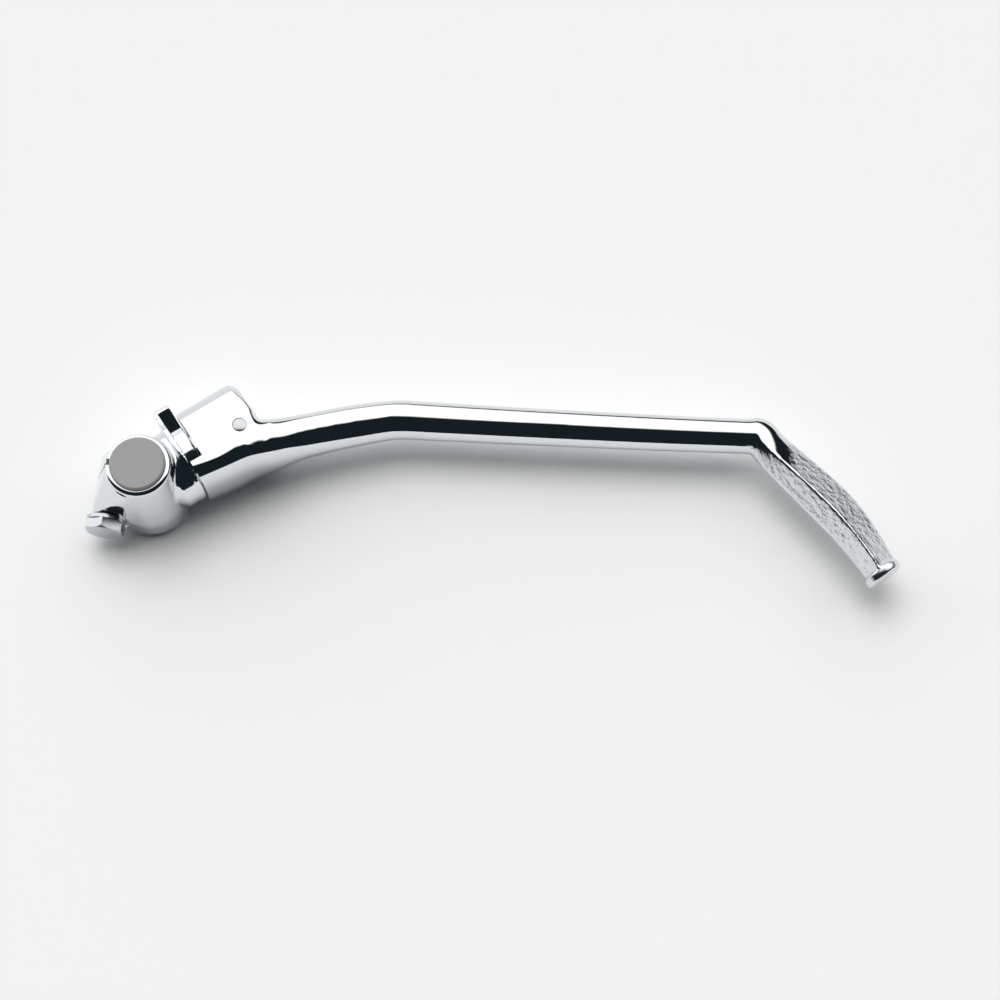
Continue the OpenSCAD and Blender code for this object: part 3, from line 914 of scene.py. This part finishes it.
# %% [markdown]
# ## Riding and replacing
# The joint turns the lever on the post, so each new piece rides on a body of the CAD model, and
# stands for the node that it was made from. It could be parented to the node instead, but a named
# body also holds where the node is hidden.

# %% Bodies, nodes and slots
for piece, node, body, slot in (
    (lever, "lever", "lever_group", "chrome_steel"),
    (knuckle, "knuckle", "knuckle_group", "chrome_steel"),
    (plug, "detent_plug", "lever_group", "zinc_steel"),
):
    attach(piece, body)
    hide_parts(node)
    print(piece.name, "rides on", body)

# %% [markdown]
# ## Studio
# The lever lies on a pale floor. Chrome shows what stands round it: a broad white light above and
# behind, and a dark room at the sides and in front, which gives the white tops and black sides of
# polished metal. Lamps alone would show in it as small bright spots, so that light is part of the
# world, and one soft lamp gives the floor its shadow.


# %% Floor
FLOOR_HALF, FLOOR_X, FLOOR_Z = 3000, 120, -0.6


def make_floor():
    bm = bmesh.new()
    bmesh.ops.create_grid(bm, x_segments=1, y_segments=1, size=FLOOR_HALF)
    bmesh.ops.translate(bm, vec=(FLOOR_X, 0, FLOOR_Z), verts=bm.verts)
    floor = to_object(bm, "floor")
    material, _, shader = new_material("pale_paper", "FBFBFB", 0.0)
    shader.inputs["Roughness"].default_value = 0.9
    shader.inputs["Specular IOR Level"].default_value = 0.0
    floor.data.materials.append(material)


make_floor()

# %% Where the white light is
# The shares of a direction, along Y and upwards, over which it goes from dark to white.
BEHIND, ABOVE = (-0.02, 0.12), (0.06, 0.24)
# The light hangs lower towards -X.
LOWER = -0.5


def white_light(tree):
    """From 0 to 1, how far a direction looks at the white light."""
    look = add(tree, "ShaderNodeTexCoord").outputs["Generated"]
    split = add(tree, "ShaderNodeSeparateXYZ", {}, {"Vector": look})
    lean = add(
        tree, "ShaderNodeMath", {"operation": "MULTIPLY", 1: LOWER}, {0: split.outputs["X"]}
    )
    height = add(
        tree, "ShaderNodeMath", {"operation": "ADD"},
        {0: lean.outputs["Value"], 1: split.outputs["Z"]}
    )
    behind, above = [
        add(
            tree, "ShaderNodeMapRange",
            {"interpolation_type": "SMOOTHSTEP", "From Min": dark, "From Max": light},
            {"Value": share}
        ).outputs["Result"]
        for share, (dark, light) in ((split.outputs["Y"], BEHIND), (height.outputs["Value"], ABOVE))
    ]
    white = add(tree, "ShaderNodeMath", {"operation": "MULTIPLY"}, {0: behind, 1: above})
    return white.outputs["Value"]


# %% Surroundings
DARK_ROOM, OLIVE_EDGE, WHITE = "1A2226", "7A7458", "FFFFFF"
EDGE_GROWTH, WHITE_POWER = 3.0, 1.4


def make_world():
    """The dark room turns olive at the edge of the light, and then white."""
    world = bpy.data.worlds.new("studio")
    world.use_nodes = True
    tree = world.node_tree
    tree.nodes.clear()
    white = white_light(tree)
    edge = add(
        tree, "ShaderNodeMath", {"operation": "MULTIPLY", "use_clamp": True, 1: EDGE_GROWTH},
        {0: white}
    )
    room = add(
        tree, "ShaderNodeMix",
        {"data_type": "RGBA", "A": hex_colour(DARK_ROOM), "B": hex_colour(OLIVE_EDGE)},
        {"Factor": edge.outputs["Value"]}
    )
    tone = add(
        tree, "ShaderNodeMix", {"data_type": "RGBA", "B": hex_colour(WHITE)},
        {"Factor": white, "A": room.outputs["Result"]}
    )
    power = add(
        tree, "ShaderNodeMapRange", {"To Min": 1.0, "To Max": WHITE_POWER}, {"Value": white}
    )
    light = add(
        tree, "ShaderNodeBackground", {},
        {"Color": tone.outputs["Result"], "Strength": power.outputs["Result"]}
    )
    add(tree, "ShaderNodeOutputWorld", {}, {"Surface": light.outputs["Background"]})
    bpy.context.scene.world = world


make_world()

# %% Key light
# A wide sun has a soft shadow. It is kept out of the chrome, where it would be a hard disc.
KEY_POWER, KEY_WIDTH, KEY_TILT = 1.1, 40, (-20, -8, 0)


def make_key():
    lamp = bpy.data.lights.new("key", "SUN")
    lamp.energy = KEY_POWER
    lamp.angle = math.radians(KEY_WIDTH)
    key = bpy.data.objects.new("key", lamp)
    bpy.context.scene.collection.objects.link(key)
    key.rotation_euler = [math.radians(a) for a in KEY_TILT]
    key.visible_glossy = False


make_key()

# %% [markdown]
# ## Camera
# The camera stands where the photograph was taken from. It was worked out from the cap, whose
# round edge shows as an ellipse, and from the two ends of the hub, because sizes that are known
# from the CAD model give a more certain place than trying by eye.

# %% The photograph's view
ELEVATION, DISTANCE_MM, TARGET_MM = 70.5, 653, (118.821, -6.323, 15.0)
# The lens was found in pixels of a frame that is 1000 wide, and is set for a 36 mm sensor.
LENS_PX, FRAME_PX, SENSOR_MM = 1950, 1000, 36.0


def make_camera():
    lens = bpy.data.cameras.new("camera")
    lens.sensor_width, lens.lens = SENSOR_MM, LENS_PX / FRAME_PX * SENSOR_MM
    lens.clip_start, lens.clip_end = 0.01, 20
    camera = bpy.data.objects.new("camera", lens)
    bpy.context.scene.collection.objects.link(camera)
    elevation = math.radians(ELEVATION)
    away = Vector((0, -math.cos(elevation), math.sin(elevation))) * (DISTANCE_MM * MM)
    camera.location = Vector(TARGET_MM) * MM + away
    camera.rotation_euler = (math.radians(90) - elevation, 0, 0)
    bpy.context.scene.camera = camera
    print("lens:", round(lens.lens, 1), "mm")


make_camera()
bpy.context.scene.view_settings.view_transform = "Standard"
